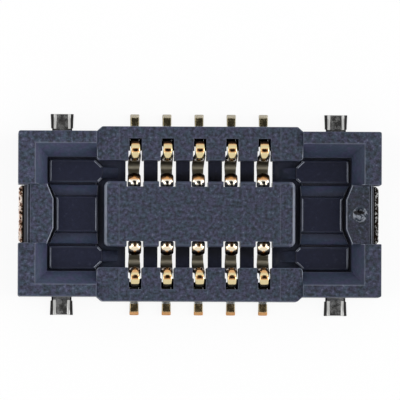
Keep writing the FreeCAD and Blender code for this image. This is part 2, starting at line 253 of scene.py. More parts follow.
class HoldDownSettings(bpy.types.PropertyGroup):
    edge_radius: bpy.props.FloatProperty(
        name="Edge radius", description="Rounding of the pressing's edges",
        default=0.006 * MM, min=0.0, unit="LENGTH", precision=6)
    torn_radius: bpy.props.FloatProperty(
        name="Torn edge", description="Rounding of the tongue's sheared end",
        default=0.040 * MM, min=0.0, unit="LENGTH", precision=6)
    plating: bpy.props.FloatVectorProperty(
        name="Plating", description="Colour of the tin plating",
        default=(0.55, 0.55, 0.54), min=0.0, max=1.0, subtype="COLOR")
    bare_metal: bpy.props.FloatVectorProperty(
        name="Bare metal", description="Colour of the sheared copper alloy at the tongue's end",
        default=(0.80, 0.38, 0.20), min=0.0, max=1.0, subtype="COLOR")
    # Dark colour that stands in for painted shade in the sheared end's pits and in the gap by the
    # housing
    gap: bpy.props.FloatVectorProperty(
        name="Gap",
        description="Colour of the pits in the sheared end and of the gap by the housing",
        default=(0.020, 0.014, 0.010), min=0.0, max=1.0, subtype="COLOR")


class StageSettings(bpy.types.PropertyGroup):
    floor_size: bpy.props.FloatProperty(
        name="Floor", description="Side of the square floor",
        default=400 * MM, min=0.0, unit="LENGTH")
    camera_distance: bpy.props.FloatProperty(
        name="Camera distance", description="Distance of the camera from the connector",
        default=130 * MM, min=0.0, unit="LENGTH")
    view_width: bpy.props.FloatProperty(
        name="View width", description="Width of the view at the connector's top",
        default=4.9536 * MM, min=0.0, unit="LENGTH", precision=6)
    light: bpy.props.FloatProperty(
        name="Light", description="Level of the lamps and the studio's soft light",
        default=0.85, min=0.0)


def new_group(name, size, outputs):
    """Node group on coordinates and a size, with these numbers coming out."""
    tree = bpy.data.node_groups.new(name, "ShaderNodeTree")
    for socket, way, kind in (
        ("Vector", "INPUT", "NodeSocketVector"),
        (size, "INPUT", "NodeSocketFloat"),
        *((output, "OUTPUT", "NodeSocketFloat") for output in outputs),
    ):
        tree.interface.new_socket(socket, in_out=way, socket_type=kind)
    return tree, tree.nodes.new("NodeGroupInput"), tree.nodes.new("NodeGroupOutput")


def node(tree, kind, **settings):
    """New node in the tree with these properties set."""
    made = tree.nodes.new(kind)
    for key, value in settings.items():
        setattr(made, key, value)
    return made


def math_node(tree, operation, *values):
    """Result of a math node on these sockets or numbers."""
    made = node(tree, "ShaderNodeMath", operation=operation)
    for socket, value in zip(made.inputs, values):
        if isinstance(value, (int, float)):
            socket.default_value = value
        else:
            tree.links.new(value, socket)
    return made.outputs["Value"]


def mix_colour(tree, factor, first, second):
    """First colour where the factor is 0 and second colour where it is 1."""
    made = node(tree, "ShaderNodeMix", data_type="RGBA")
    for socket, value in ((0, factor), (6, first), (7, second)):
        if isinstance(value, (int, float)):
            made.inputs[socket].default_value = value
        elif isinstance(value, (tuple, Color)):
            made.inputs[socket].default_value = (*value, 1.0)
        else:
            tree.links.new(value, made.inputs[socket])
    return made.outputs[2]


def shade_colour(tree, colour, factor):
    """The colour, made lighter or darker by the factor."""
    made = node(tree, "ShaderNodeVectorMath", operation="SCALE")
    tree.links.new(colour, made.inputs[0])
    tree.links.new(factor, made.inputs["Scale"])
    return made.outputs["Vector"]


def ramp(tree, value, low, high):
    """0 below low, 1 above high and smooth between."""
    made = node(tree, "ShaderNodeMapRange", interpolation_type="SMOOTHSTEP")
    tree.links.new(value, made.inputs["Value"])
    made.inputs["From Min"].default_value = low
    made.inputs["From Max"].default_value = high
    return made.outputs["Result"]


def zone(tree, value, limits):
    """0 on one side of a place or height, 1 on the other; the limits are in millimetres."""
    low, high = limits
    return ramp(tree, value, low * MM, high * MM)


def between(tree, value, start, end):
    """1 from the start zone to the end zone and 0 elsewhere."""
    return math_node(tree, "SUBTRACT", zone(tree, value, start), zone(tree, value, end))


def absolute(tree, value):
    """The value without its sign."""
    return math_node(tree, "ABSOLUTE", value)


def larger(tree, first, second):
    """The larger of two values."""
    return math_node(tree, "MAXIMUM", first, second)


def scale_shift(tree, value, factor, shift):
    """The value times the factor, plus the shift."""
    return math_node(tree, "MULTIPLY_ADD", value, factor, shift)


def inverse(tree, mask):
    """1 where the mask is 0, and 0 where it is 1."""
    return math_node(tree, "SUBTRACT", 1.0, mask)


def product(tree, first, *others):
    """All the sockets and numbers multiplied together."""
    for other in others:
        first = math_node(tree, "MULTIPLY", first, other)
    return first


def scaled(colour, factor):
    """A setting's colour, made lighter or darker."""
    return tuple(min(part * factor, 1.0) for part in colour)


def noise(tree, vector, scale, detail, roughness):
    """Noise with so many waves to a metre."""
    made = node(tree, "ShaderNodeTexNoise", noise_dimensions="3D")
    made.inputs["Detail"].default_value = detail
    made.inputs["Roughness"].default_value = roughness
    tree.links.new(vector, made.inputs["Vector"])
    tree.links.new(scale, made.inputs["Scale"])
    return made.outputs["Fac"]


def grain_group():
    """Fine irregular grain: its height, its bright flecks, broader mottling and patchy wear."""
    tree, start, end = new_group("fine grain", "Size", ("Height", "Flecks", "Mottle", "Wear"))
    vector = start.outputs["Vector"]
    scale = math_node(tree, "DIVIDE", 1.0, start.outputs["Size"])
    height = noise(tree, vector, scale, 3.0, 0.6)
    broad = noise(tree, vector, product(tree, scale, 0.45), 2.0, 0.5)
    wear = noise(tree, vector, product(tree, scale, 0.20), 3.0, 0.6)
    for name, value, low, high in (
        ("Height", height, 0.30, 0.70), ("Flecks", height, 0.61, 0.72),
        ("Mottle", broad, 0.36, 0.64), ("Wear", wear, 0.30, 0.55),
    ):
        tree.links.new(ramp(tree, value, low, high), end.inputs[name])


def lines_group():
    """Fine parallel lines along Y, as rolling and drawing leave on strip metal."""
    tree, start, end = new_group("rolling lines", "Spacing", ("Lines",))
    squeeze = node(tree, "ShaderNodeMapping")
    squeeze.inputs["Scale"].default_value = (1.0, 0.06, 0.06)
    tree.links.new(start.outputs["Vector"], squeeze.inputs["Vector"])
    scale = math_node(tree, "DIVIDE", 1.0, start.outputs["Spacing"])
    lines = noise(tree, squeeze.outputs["Vector"], scale, 2.0, 0.5)
    tree.links.new(lines, end.inputs["Lines"])


def split_axes(tree, vector):
    """X, Y and Z of a vector."""
    made = node(tree, "ShaderNodeSeparateXYZ")
    tree.links.new(vector, made.inputs["Vector"])
    return made.outputs


def off_place(tree, value, place):
    """How far the value is from a place given in millimetres."""
    return absolute(tree, math_node(tree, "SUBTRACT", value, place * MM))


def distance_from(tree, vector, point):
    """Distance of the coordinates from a point given in millimetres."""
    made = node(tree, "ShaderNodeVectorMath", operation="DISTANCE")
    tree.links.new(vector, made.inputs[0])
    made.inputs[1].default_value = Vector(point) * MM
    return made.outputs["Value"]


def use_group(tree, group_tree, vector, **values):
    """Outputs of a node group on these coordinates."""
    made = node(tree, "ShaderNodeGroup", node_tree=group_tree)
    tree.links.new(vector, made.inputs["Vector"])
    for key, value in values.items():
        made.inputs[key].default_value = value
    return made.outputs


def new_material(name, **values):
    """Material with these values on its Principled shader."""
    material = bpy.data.materials.new(name)
    material.use_nodes = True
    tree = material.node_tree
    shader = tree.nodes["Principled BSDF"]
    for key, value in values.items():
        shader.inputs[key.replace("_", " ")].default_value = value
    return material, tree, shader


def start_material(name, **values):
    """New material with its object coordinates and their X, Y and Z."""
    material, tree, shader = new_material(name, **values)
    place = node(tree, "ShaderNodeTexCoord").outputs["Object"]
    return material, tree, shader, place, split_axes(tree, place)


def feed(tree, shader, colour, rough, normal):
    """Link colour, roughness and normal to the shader."""
    for name, value in (("Base Color", colour), ("Roughness", rough), ("Normal", normal)):
        tree.links.new(value, shader.inputs[name])


def bump(tree, height, distance, strength=1.0):
    """Normal of a surface whose relief is this high."""
    made = node(tree, "ShaderNodeBump")
    made.inputs["Distance"].default_value = distance
    made.inputs["Strength"].default_value = strength
    tree.links.new(height, made.inputs["Height"])
    return made.outputs["Normal"]


def resin_areas(tree, axes):
    """Masks of the housing's areas, by their height, their place and the way that they face."""
    facing = split_axes(tree, node(tree, "ShaderNodeNewGeometry").outputs["Normal"])
    side = absolute(tree, axes["X"])
    raised = zone(tree, axes["Z"], GRAIN_LEVEL)
    flat = ramp(tree, facing["Z"], 0.90, 0.98)
    # Faces slanting across the connector; above the bay floors they take the paler grained colour
    # as painted light
    slanting = ramp(tree, absolute(tree, facing["Y"]), 0.30, 0.50)
    painted_lit_slopes = product(tree, slanting, zone(tree, axes["Z"], SLOPE_LEVEL))
    ramps = product(tree, zone(tree, side, RAMP_START), inverse(tree, zone(tree, side, RAMP_END)))
    ramps = math_node(tree, "SUBTRACT", ramps, zone(tree, axes["Z"], RAMP_LEVEL))
    ramps = larger(tree, ramps, 0.0)
    # The grained top skin, which is real, together with those slanting faces, which are painted
    # paler as painted light
    paler = larger(tree, raised, painted_lit_slopes)
    # Up-facing faces low in the moats, which get a painted shade
    low = math_node(tree, "SUBTRACT", flat, zone(tree, axes["Z"], MOAT_LEVEL))
    across = absolute(tree, axes["Y"])
    in_notch = math_node(tree, "LESS_THAN", across, (BULGE_SIDE - 0.01) * MM)
    return {
        "side": side,
        "raised": raised,
        "steep": inverse(tree, flat),
        "grained": product(tree, raised, flat),
        "ramps": ramps,
        # The ramps down to the moats are painted half as pale, as painted light
        "paler": larger(tree, paler, product(tree, ramps, 0.5)),
        "low": larger(tree, low, 0.0),
        # The end ledges, which get a painted shade
        "ledge": product(tree, zone(tree, side, LEDGE_START), in_notch),
    }


def resin_skin(tree, texture, areas, sizes):
    """Polished resin in the bays, and two tones in patches where the skin is grained; the bays'
    slanting faces and ramps take the paler grained colour as painted light.
    """
    skin = mix_colour(tree, areas["paler"], sizes.smooth_colour, sizes.colour)
    patches = larger(tree, texture["Mottle"], product(tree, areas["steep"], 0.3))
    patches = product(tree, patches, areas["paler"], 0.7)
    return mix_colour(tree, patches, skin, sizes.tint)


def resin_shade(tree, texture, areas, quiet, from_gate):
    """Light and dark of the skin: its grain, a painted shade in the moats, painted light on the
    steep faces, darker round the gate, a painted fall of light that darkens it steadily towards the
    gate end, and a painted shade on the end ledges.
    """
    grain = scale_shift(tree, texture["Height"], 1.3, -0.65)
    shade = scale_shift(tree, grain, quiet, 1.0)
    painted_light_on_steep = product(tree, areas["steep"], areas["paler"])
    painted_light_gain = scale_shift(tree, areas["raised"], -0.35, 0.80)
    # Painted shade in the moats, painted light on the steep faces, darker round the gate, a painted
    # fall of light towards the gate end, painted shade on the ledges
    for area, change, level in (
        (areas["low"], -0.12, 1.0),
        (painted_light_on_steep, painted_light_gain, 1.0),
        (zone(tree, from_gate, GATE_SHADE), 0.40, 0.60),
        (from_gate, 0.060 / MM, 0.88),
        (areas["ledge"], -0.6, 1.0),
    ):
        shade = product(tree, shade, scale_shift(tree, area, change, level))
    return shade


def lay_marks(tree, colour, texture, areas, quiet, sizes):
    """Lay the filler's flecks and the mould's witness lines on the skin, and a painted highlight on
    the rounded edges.
    """
    flecks = product(tree, texture["Flecks"], quiet, 0.8)
    off_line = off_place(tree, areas["side"], WITNESS_PLACE)
    line = inverse(tree, zone(tree, off_line, WITNESS_EDGE))
    marks = larger(tree, flecks, product(tree, line, areas["grained"], 0.25))
    colour = mix_colour(tree, marks, colour, sizes.fleck_colour)
    # Painted highlight on the rounded edges, broken into patches by the wear noise
    edge = node(tree, "ShaderNodeAttribute", attribute_name=EDGE_HIGHLIGHT_LAYER).outputs["Fac"]
    patchy = scale_shift(tree, texture["Wear"], 0.5, 0.5)
    return mix_colour(tree, product(tree, edge, patchy), colour, sizes.edge_highlight_colour)


def lay_petals(tree, colour, scar, torn, place, sizes):
    """Lay the torn gate's ragged petals, lighter in part as a painted highlight, and its deep hole
    as a painted near-black shade on the skin.
    """
    # Petals of torn resin: partly their own paler tone, partly a painted highlight in the edge
    # highlight colour
    petals = mix_colour(
        tree, ramp(tree, torn["Height"], 0.30, 0.66),
        scaled(sizes.colour, 0.7), scaled(sizes.edge_highlight_colour, 0.55))
    colour = mix_colour(tree, scar, colour, petals)
    stretched = node(tree, "ShaderNodeMapping")
    stretched.inputs["Scale"].default_value = HOLE_STRETCH
    tree.links.new(place, stretched.inputs["Vector"])
    centre = [
        part * stretch + shift for part, stretch, shift in zip(GATE, HOLE_STRETCH, HOLE_SHIFT)]
    from_hole = distance_from(tree, stretched.outputs["Vector"], centre)
    ragged = scale_shift(tree, torn["Mottle"], 0.014 * MM, from_hole)
    # The hole is painted near black, as painted shade
    hole = inverse(tree, zone(tree, ragged, HOLE_EDGE))
    return mix_colour(tree, hole, colour, (0.002, 0.002, 0.004))


def resin_material(grain, sizes):
    """Dark blue-black filled resin, grained on its top faces and smooth in the bays."""
    material, tree, shader, place, axes = start_material("filled resin", Specular_IOR_Level=0.30)
    texture = use_group(tree, grain, place, Size=sizes.grain_size)
    torn = use_group(tree, grain, place, Size=0.048 * MM)
    areas = resin_areas(tree, axes)
    quiet = scale_shift(tree, areas["grained"], 0.80, 0.20)
    from_gate = distance_from(tree, place, GATE)
    ragged = scale_shift(tree, torn["Height"], 0.022 * MM, from_gate)
    scar = inverse(tree, zone(tree, ragged, GATE_EDGE))

    colour = resin_skin(tree, texture, areas, sizes)
    shade = resin_shade(tree, texture, areas, quiet, from_gate)
    colour = shade_colour(tree, colour, shade)
    colour = lay_marks(tree, colour, texture, areas, quiet, sizes)
    colour = lay_petals(tree, colour, scar, torn, place, sizes)

    rough = scale_shift(tree, areas["raised"], 0.20, 0.34)
    for area in ("ramps", "ledge"):
        rough = scale_shift(tree, areas[area], 0.40, rough)
    relief = product(tree, texture["Height"], quiet)
    broken = product(tree, scar, torn["Height"])
    relief = scale_shift(tree, broken, 4.0, relief)
    feed(tree, shader, colour, rough, bump(tree, relief, 0.006 * MM, 0.6))
    return material


def strip_areas(tree, axes):
    """Masks of a contact's stretches, by their place, their height and the way that they face."""
    facing = split_axes(tree, node(tree, "ShaderNodeNewGeometry").outputs["Normal"])
    reach = absolute(tree, axes["Y"])
    plated = zone(tree, axes["Z"], PLATED_LEVEL)
    on_hook = product(tree, plated, zone(tree, reach, HOOK_START))
    below_hook = inverse(tree, product(
        tree, zone(tree, axes["Z"], HOOK_UNDERSIDE), zone(tree, reach, HOOK_INSIDE)))
    sideways = ramp(tree, absolute(tree, facing["X"]), 0.20, 0.40)
    turned = larger(tree, ramp(tree, facing["Z"], 0.25, 0.45), sideways)
    on_tail = zone(tree, reach, TAIL_START)
    row_a = math_node(tree, "GREATER_THAN", axes["Y"], 0.0)
    return {
        "reach": reach,
        "row_a": row_a,
        "off_line": absolute(tree, math_node(
            tree, "WRAP", axes["X"], -PITCH / 2 * MM, PITCH / 2 * MM)),
        "plated": plated,
        "on_hook": on_hook,
        "at_tip": math_node(tree, "SUBTRACT", plated, on_hook),
        # Row a's slope up to the tip, which gets a painted warm reflection
        "slope": product(tree, row_a, zone(tree, reach, TIP_SLOPE)),
        "nickel": between(tree, reach, *NICKEL_BAND),
        "dull": inverse(tree, larger(tree, plated, zone(tree, reach, ARCH_START))),
        # Where the strip runs down in the wall slot, which gets a painted shade
        "shade_in_slot": product(
            tree, between(tree, reach, *WALL_SLOT),
            inverse(tree, zone(tree, axes["Z"], SLOT_LEVEL))),
        # The low part of the outer leg, which gets a painted shade
        "shade_on_low_leg": product(
            tree, between(tree, reach, *OUTER_LEG), below_hook, turned,
            zone(tree, axes["Z"], FOOT_LEVEL)),
        "on_tail": on_tail,
        # The tails' sides, which turn away from the top and get a painted shade
        "sheared": product(tree, inverse(tree, ramp(tree, facing["Z"], 0.975, 0.999)), on_tail),
        "tail_end": zone(tree, reach, CUT_END),
    }


def tip_tone(tree, tone, areas, sizes):
    """Pale painted highlights on the tips, warmer on row b, a painted warm reflection on row a's
    slope behind them, painted shade further back, and a painted dark reflection in their middle.
    """
    row_a, reach = areas["row_a"], areas["reach"]
    warmer = (sizes.pale_highlight[0], sizes.pale_highlight[1] * 0.92, sizes.pale_highlight[2] * 0.82)
    pale_highlight = mix_colour(tree, row_a, warmer, sizes.pale_highlight)
    pale_highlight = mix_colour(tree, areas["slope"], pale_highlight, sizes.warm_gold_and_reflection)
    pale_highlight = mix_colour(tree, zone(tree, reach, TIP_BACK), pale_highlight, scaled(sizes.warm_gold_and_reflection, 0.12))
    tone = mix_colour(tree, product(tree, areas["at_tip"], 0.95), tone, pale_highlight)
    # Painted dark reflection in the middle of each tip, warm on row a
    dark_tip_reflection = mix_colour(tree, row_a, scaled(sizes.warm_gold_and_reflection, 0.7), scaled(sizes.dull_nickel_and_shade, 0.5))
    outside = larger(tree, zone(tree, areas["off_line"], TIP_REFLECTION_SIDE), zone(tree, reach, TIP_REFLECTION_END))
    return mix_colour(tree, inverse(tree, outside), tone, dark_tip_reflection)


def hook_tone(tree, tone, areas, sizes):
    """Painted warm reflections at the hooks' ends, and a painted dark reflection with a warm rim
    across their crests.
    """
    reach = areas["reach"]
    inner_end = inverse(tree, zone(tree, reach, HOOK_INNER_END))
    outer_end = zone(tree, reach, HOOK_OUTER_END)
    outwards = math_node(tree, "SUBTRACT", outer_end, inner_end)
    end = scale_shift(tree, areas["row_a"], outwards, inner_end)
    end = product(tree, end, areas["on_hook"], 0.85)
    # Painted warm reflection at the hooks' ends
    tone = mix_colour(tree, end, tone, sizes.warm_gold_and_reflection)
    # Painted dark reflection across each crest, with a warm rim
    off_crest = off_place(tree, reach, CREST_PLACE)
    beside = zone(tree, areas["off_line"], CREST_SIDE)
    for edge, brightness in ((CREST_REFLECTION_RIM, 0.80), (CREST_DARK_REFLECTION, 0.16)):
        outside = larger(tree, zone(tree, off_crest, edge), beside)
        crest_reflection = product(tree, inverse(tree, outside), areas["plated"])
        tone = mix_colour(tree, crest_reflection, tone, scaled(sizes.warm_gold_and_reflection, brightness))
    return tone


def tail_tone(tree, tone, areas, sizes):
    """A darker, warmer tone on the solder tails that differs by row, partly their own tone and
    partly painted shade; painted shade on their sides; and a pale tone at the cut ends that differs
    by row, partly bare metal and partly painted highlight.
    """
    row_a = areas["row_a"]
    tail_tone_and_shade = mix_colour(tree, row_a, scaled(sizes.warm_gold_and_reflection, 0.5), scaled(sizes.dull_nickel_and_shade, 0.5))
    tone = mix_colour(tree, product(tree, areas["on_tail"], 0.40), tone, tail_tone_and_shade)
    # Painted shade on the tails' sides
    tone = mix_colour(
        tree, product(tree, areas["sheared"], 0.92), tone, scaled(sizes.dull_nickel_and_shade, 0.6))
    # Cut ends: partly bare metal, partly painted highlight, differing by row
    cut_end = mix_colour(tree, row_a, scaled(sizes.warm_gold_and_reflection, 0.8), scaled(sizes.pale_highlight, 0.6))
    return mix_colour(tree, product(tree, areas["tail_end"], 0.8), tone, cut_end)


def gold_material(grain, lines, sizes):
    """Gold plating on hooks, tips and tails over nickel, which stays bare between them."""
    material, tree, shader, place, axes = start_material("gold plating", Metallic=1.0)
    drawn = use_group(tree, lines, place, Spacing=0.012 * MM)["Lines"]
    texture = use_group(tree, grain, place, Size=0.03 * MM)
    areas = strip_areas(tree, axes)

    streaks = scale_shift(tree, drawn, 0.5, 0.25)
    colour = mix_colour(tree, streaks, scaled(sizes.gold, 0.86), scaled(sizes.gold, 1.06))
    for lay_tone in (hook_tone, tip_tone, tail_tone):
        colour = lay_tone(tree, colour, areas, sizes)
    # Dull nickel between the hook and the tip, with a painted shade that deepens towards the hook
    nickel_shade = mix_colour(
        tree, zone(tree, areas["reach"], NICKEL_SHADE_START),
        scaled(sizes.dull_nickel_and_shade, 2.6), scaled(sizes.dull_nickel_and_shade, 0.6))
    # The nickel band, then the dull nickel with its painted shade, and painted shade in the wall
    # slots and on the low outer legs
    for area, laid in (
        ("nickel", sizes.nickel),
        ("dull", nickel_shade),
        ("shade_in_slot", scaled(sizes.dull_nickel_and_shade, 0.2)),
        ("shade_on_low_leg", scaled(sizes.warm_gold_and_reflection, 0.16)),
    ):
        colour = mix_colour(tree, areas[area], colour, laid)

    rough = scale_shift(tree, texture["Mottle"], 0.10, 0.10)
    for area, added in (
        (areas["nickel"], 0.15),
        (areas["dull"], 0.45),
        (areas["tail_end"], 0.45),
        (product(tree, areas["slope"], areas["at_tip"]), 0.14),
    ):
        rough = scale_shift(tree, area, added, rough)
    feed(tree, shader, colour, rough, bump(tree, drawn, 0.0005 * MM))
    return material


def torn_metal(tree, axes, texture, sizes):
    """Torn end of a tongue: bare copper alloy with pale painted highlights at the left, plating at
    the right, and pits in painted shade.
    """
    right = math_node(tree, "GREATER_THAN", axes["X"], 0.0)
    height = scale_shift(tree, right, -0.34, texture["Height"])
    pale_highlight = ramp(tree, height, 0.38, 0.60)
    highlighted = mix_colour(tree, pale_highlight, sizes.bare_metal, (1.0, 0.88, 0.78))
    metal = mix_colour(tree, right, highlighted, sizes.plating)
    return mix_colour(tree, ramp(tree, height, 0.18, 0.50), sizes.gap, metal)


def plating_material(grain, lines, sizes):
    """Tin plating with rolling lines, torn through at the tongues' ends, with painted shade on the
    pads' flanks and in the gap by the housing.
    """
    material, tree, shader, place, axes = start_material("tin plating", Metallic=1.0)
    drawn = use_group(tree, lines, place, Spacing=0.015 * MM)["Lines"]
    texture = use_group(tree, grain, place, Size=0.03 * MM)
    reach = absolute(tree, axes["X"])
    colour = mix_colour(tree, drawn, scaled(sizes.plating, 0.85), scaled(sizes.plating, 1.08))
    on_pad = zone(tree, absolute(tree, axes["Y"]), PAD_START)
    # Painted shade on the pads' flanks
    flank_shade = product(tree, zone(tree, off_place(tree, reach, PAD_PLACE), PAD_FLANK), on_pad)
    colour = mix_colour(tree, flank_shade, colour, scaled(sizes.plating, 0.06))
    end = zone(tree, reach, TORN_END)
    colour = mix_colour(tree, end, colour, torn_metal(tree, axes, texture, sizes))
    # Painted shade on the metal in the gap by the housing
    shade_by_housing = product(
        tree, inverse(tree, zone(tree, reach, GAP_END)), zone(tree, reach, GAP_START))
    colour = mix_colour(tree, shade_by_housing, colour, sizes.gap)
    rough = scale_shift(tree, texture["Mottle"], 0.12, 0.14)
    rough = scale_shift(tree, end, 0.30, rough)
    broken = product(tree, end, texture["Height"])
    feed(tree, shader, colour, rough, bump(tree, broken, 0.020 * MM))
    return material


def merged_copy(name):
    """A CAD node's mesh in millimetres, its loose triangles joined and its flat faces whole."""
    bm = bmesh.new()
    bm.from_mesh(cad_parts[name].data)
    bmesh.ops.scale(bm, vec=Vector((1, 1, 1)) / MM, verts=bm.verts)
    bmesh.ops.remove_doubles(bm, verts=bm.verts, dist=0.0001)
    bmesh.ops.dissolve_limit(
        bm, angle_limit=math.radians(0.5), verts=bm.verts, edges=bm.edges)
    return bm


def sharp_edges(bm, angle):
    """Outer edges at which the surface turns by more than this many degrees."""
    least = math.radians(angle)
    return [
        edge for edge in bm.edges
        if edge.is_manifold and edge.is_convex and edge.calc_face_angle() > least
    ]


def round_edges(bm, edges, radius, segments=3):
    """Round these edges to a radius in millimetres."""
    bmesh.ops.bevel(
        bm, geom=edges, offset=radius, offset_type="OFFSET", segments=segments,
        profile=0.5, affect="EDGES", clamp_overlap=False, material=-1,
    )


def edge_highlight_strength(centre, endways):
    """How strong the painted highlight is on an edge that is rounded: strong where it faces the
    ends, faint on slots and lead-ins.
    """
    x, y, z = abs(centre.x), abs(centre.y), centre.z
    if x > NOTCH_START and y < BULGE_SIDE - 0.02:
        return 0.50 if z < LOW_EDGES or x > NOTCH_BACK else 0.04
    if z < LOW_EDGES:
        on_ramp = RAMP_SIDES[0] - 0.01 < y < RAMP_SIDES[1] + 0.01 and x < ISLAND_END
        on_ridge = y < BULGE_SIDE
        if endways and not on_ramp and x > POCKET_START:
            return 0.9
        return 0.0 if on_ramp or on_ridge else 0.05
    if x < CONTACTS_END:
        return 0.06
    if x < ISLAND_END and y < ISLAND_SIDE:
        return 0.50 if endways else 0.16
    if x < BLOCK_START and y > WALL_SIDE:
        return 0.60 if endways and y < 0.85 else 0.12
    if y < BULGE_SIDE + 0.02:
        return 0.65 if endways else 0.10
    return 0.14 if x < 2.2 and y < 1.0 else 0.03


def mark_edge_highlights(bm, widest):
    """Mark the narrow slanting faces, which are the rounded edges, and the ends of the ridges, with
    the strength of their painted highlight.
    """
    layer = bm.faces.layers.float.new(EDGE_HIGHLIGHT_LAYER)
    for face in bm.faces:
        width = 2 * face.calc_area() / face.calc_perimeter()
        squareness = max(abs(part) for part in face.normal)
        centre = face.calc_center_median()
        in_bay = 0.2 < centre.z < LOW_EDGES and abs(centre.x) > 1.2
        ridge_end = in_bay and abs(face.normal.x) > 0.4 and face.normal.z > 0.05
        narrow = width < widest and squareness < 0.99
        if (narrow or ridge_end) and (centre - Vector(GATE)).length > SCAR_RADIUS:
            face[layer] = edge_highlight_strength(centre, abs(face.normal.x) > 0.35)


def support_flats(bm, smallest, width):
    """Narrow coplanar rims inside the large faces, so that their middles shade flat."""
    flats = [face for face in bm.faces if face.calc_area() > smallest]
    bmesh.ops.inset_individual(bm, faces=flats, thickness=width, use_even_offset=True)


def mark_bay_rim_highlights(bm, width):
    """Set a narrow rim along the ends of the bays' flat floors, inside their rounding, with a
    painted highlight.
    """
    layer = bm.faces.layers.float[EDGE_HIGHLIGHT_LAYER]
    floors = [
        face for face in bm.faces
        if face.normal.z > 0.999 and face.calc_area() > 0.04
        and min(abs(face.calc_center_median().z - level) for level in BAY_FLOORS) < SAME_PLACE
    ]
    made = bmesh.ops.inset_individual(bm, faces=floors, thickness=width, use_even_offset=True)
    for face in made["faces"]:
        longest = max(face.edges, key=lambda edge: edge.calc_length())
        start, end = (vert.co for vert in longest.verts)
        endways = abs(end.y - start.y) > 0.35 * (end - start).length
        face[layer] = edge_highlight_strength(face.calc_center_median(), endways)


def mesh_object(name, bm, material):
    """Object of the worked mesh at the origin, in this material."""
    mesh = bpy.data.meshes.new(name)
    bm.to_mesh(mesh)
    bm.free()
    mesh.materials.append(material)
    made = bpy.data.objects.new(name, mesh)
    bpy.context.scene.collection.objects.link(made)
    return made


def finish_piece(name, bm, material, cad_node):
    """Piece of the worked mesh, riding on the connector in place of its solid."""
    bmesh.ops.scale(bm, vec=Vector((MM, MM, MM)), verts=bm.verts)
    piece = mesh_object(name, bm, material)
    piece.data.shade_smooth()
    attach(piece, "root")
    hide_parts(cad_node)
    return piece


def keep_faces_flat(piece):
    """Rounded edges carry the shading, and the flat faces between them stay flat."""
    piece.data.set_sharp_from_angle(angle=math.radians(35))
    weighted = piece.modifiers.new("flat faces", "WEIGHTED_NORMAL")
    weighted.keep_sharp = True
    weighted.weight = 100


class Strip:
    """A stamped strip that grows from its end face, run by run and bend by bend."""

    def __init__(self, place, width, corner, crown):
        """End face with rounded corners, its upper side crowned."""
        self.bm = bmesh.new()
        core = STRIP_THICKNESS - crown
        stand = Matrix.Translation((0, *place)) @ Matrix.Rotation(math.pi / 2, 4, "X")
        size = Matrix.Diagonal((width, core, 1, 1))
        made = bmesh.ops.create_grid(
            self.bm, x_segments=1, y_segments=1, size=0.5, matrix=stand @ size)
        bmesh.ops.bevel(
            self.bm, geom=made["verts"], offset=corner, offset_type="OFFSET", segments=2,
            profile=0.5, affect="VERTICES", clamp_overlap=True, material=-1,
        )
        level = [e for e in self.bm.edges if abs(e.verts[0].co.z - e.verts[1].co.z) < 1e-5]
        cut = bmesh.ops.bisect_edges(self.bm, edges=level, cuts=5)
        for vert in cut["geom_split"]:
            if isinstance(vert, bmesh.types.BMVert) and vert.co.z > place[1]:
                vert.co.z += crown * (1 - (2 * vert.co.x / width) ** 2)
        self.face = self.bm.faces[:][0]
        self.width = width
        self.here = Vector((0, *place))

    def whole_face(self):
        """The end face with its edges and vertices."""
        return [self.face, *self.face.edges, *self.face.verts]

    def widen(self, width):
        """Bring the end face to this width."""
        factor = Vector((width / self.width, 1, 1))
        bmesh.ops.scale(self.bm, vec=factor, verts=self.face.verts[:])
        self.width = width

    def run(self, y, z, width):
        """Straight on to a point, where the strip has this width."""
        made = bmesh.ops.extrude_face_region(self.bm, geom=self.whole_face())
        self.face = next(g for g in made["geom"] if isinstance(g, bmesh.types.BMFace))
        there = Vector((0, y, z))
        bmesh.ops.translate(self.bm, vec=there - self.here, verts=self.face.verts[:])
        self.here = there
        self.widen(width)

    def bend(self, centre, angle, steps, width):
        """Round a centre, reaching this width at the end of the bend."""
        ratio = (width / self.width) ** (1 / steps)
        for _ in range(steps):
            made = bmesh.ops.spin(
                self.bm, geom=self.whole_face(), cent=centre, axis=(1, 0, 0),
                angle=angle / steps, steps=1, use_duplicate=False)
            self.face = next(g for g in made["geom_last"] if isinstance(g, bmesh.types.BMFace))
            self.widen(self.width * ratio)
        self.here = self.face.calc_center_median()
        self.here.x = 0

    def turn(self, corner, after, steps, width, run_width):
        """On to a corner of the path, rounded there towards the next one."""
        y, z, inside = corner
        point = Vector((0, y, z))
        into = (point - self.here).normalized()
        out = (Vector((0, *after[:2])) - point).normalized()
        radius = inside + STRIP_THICKNESS / 2
        turned = into.angle(out)
        reach = radius * math.tan(turned / 2)
        enter = point - into * reach
        if (enter - self.here).length > 1e-4:
            self.run(enter.y, enter.z, run_width)
        way = 1 if into.cross(out).x > 0 else -1
        centre = enter + Vector((0, -into.z, into.y)) * radius * way
        self.bend(centre, turned * way, steps, width)


def share_of(value):
    """The value, kept between 0 and 1."""
    return min(max(value, 0), 1)


